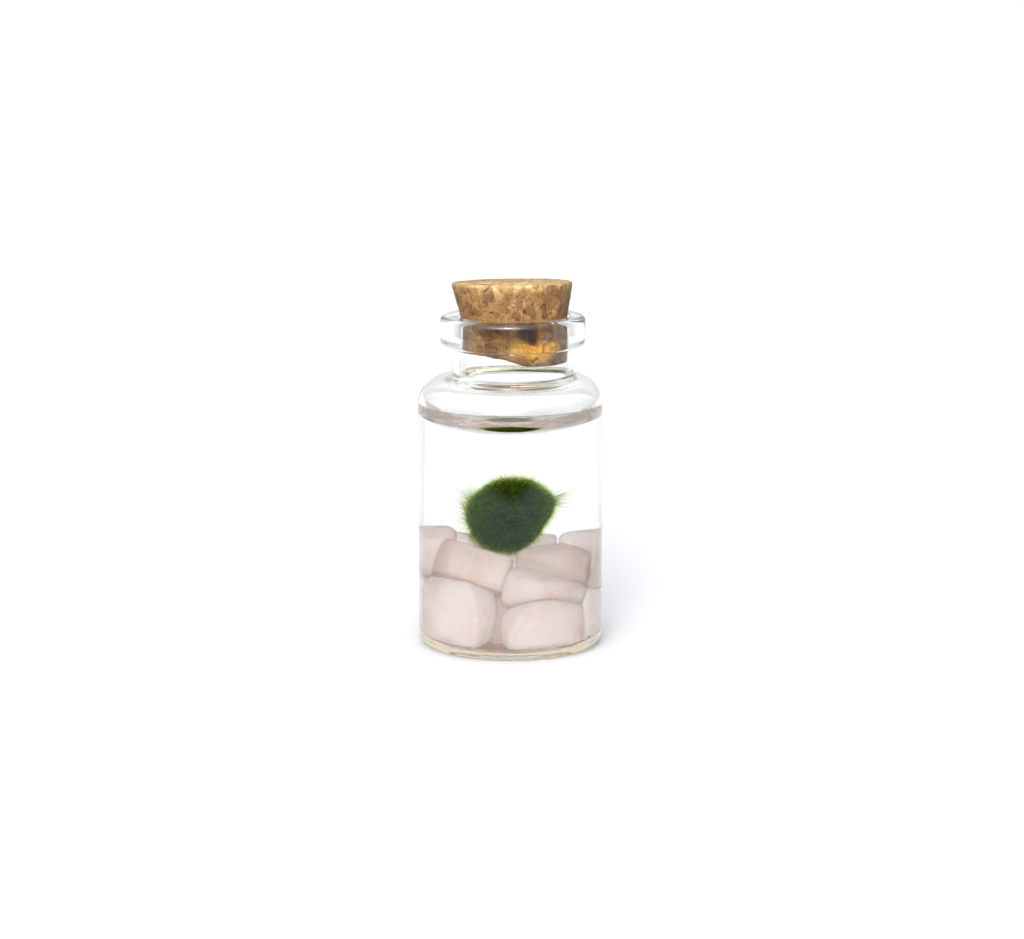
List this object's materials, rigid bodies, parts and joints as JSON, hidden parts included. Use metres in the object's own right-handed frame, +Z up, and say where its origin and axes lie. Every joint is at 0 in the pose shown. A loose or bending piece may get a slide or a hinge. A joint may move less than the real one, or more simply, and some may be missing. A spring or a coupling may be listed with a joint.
{
  "type": "marimo moss ball in a corked jar",
  "caption": "Small corked glass jar of water with a fuzzy green marimo moss ball resting on a bed of pale pink rose quartz stones.",
  "frame": {"origin": "middle of the jar's base, on the plane that it stands on", "axes": "+Z up along the jar's axis, -Y towards the viewer of the picture, +X to the right"},
  "size_m": [0.03, 0.03, 0.0599],
  "materials": {
    "clear_glass": "clear soda-lime glass, faintly green at its edges",
    "pressed_cork": "agglomerated cork with dark pits",
    "water": "clear still water",
    "moss": "soft green filaments",
    "rose_quartz": "milky pale pink quartz, tumbled"
  },
  "bodies": {
    "root": {"glass_jar": "clear_glass", "cork": "pressed_cork", "water": "water", "moss_ball": "moss", "rose_quartz_01": "rose_quartz", "rose_quartz_02": "rose_quartz", "rose_quartz_03": "rose_quartz", "rose_quartz_04": "rose_quartz", "rose_quartz_05": "rose_quartz", "rose_quartz_06": "rose_quartz", "rose_quartz_07": "rose_quartz", "rose_quartz_08": "rose_quartz", "rose_quartz_09": "rose_quartz", "rose_quartz_10": "rose_quartz", "rose_quartz_11": "rose_quartz", "rose_quartz_12": "rose_quartz", "rose_quartz_13": "rose_quartz", "rose_quartz_14": "rose_quartz", "rose_quartz_15": "rose_quartz", "rose_quartz_16": "rose_quartz"}
  },
  "joints": []
}
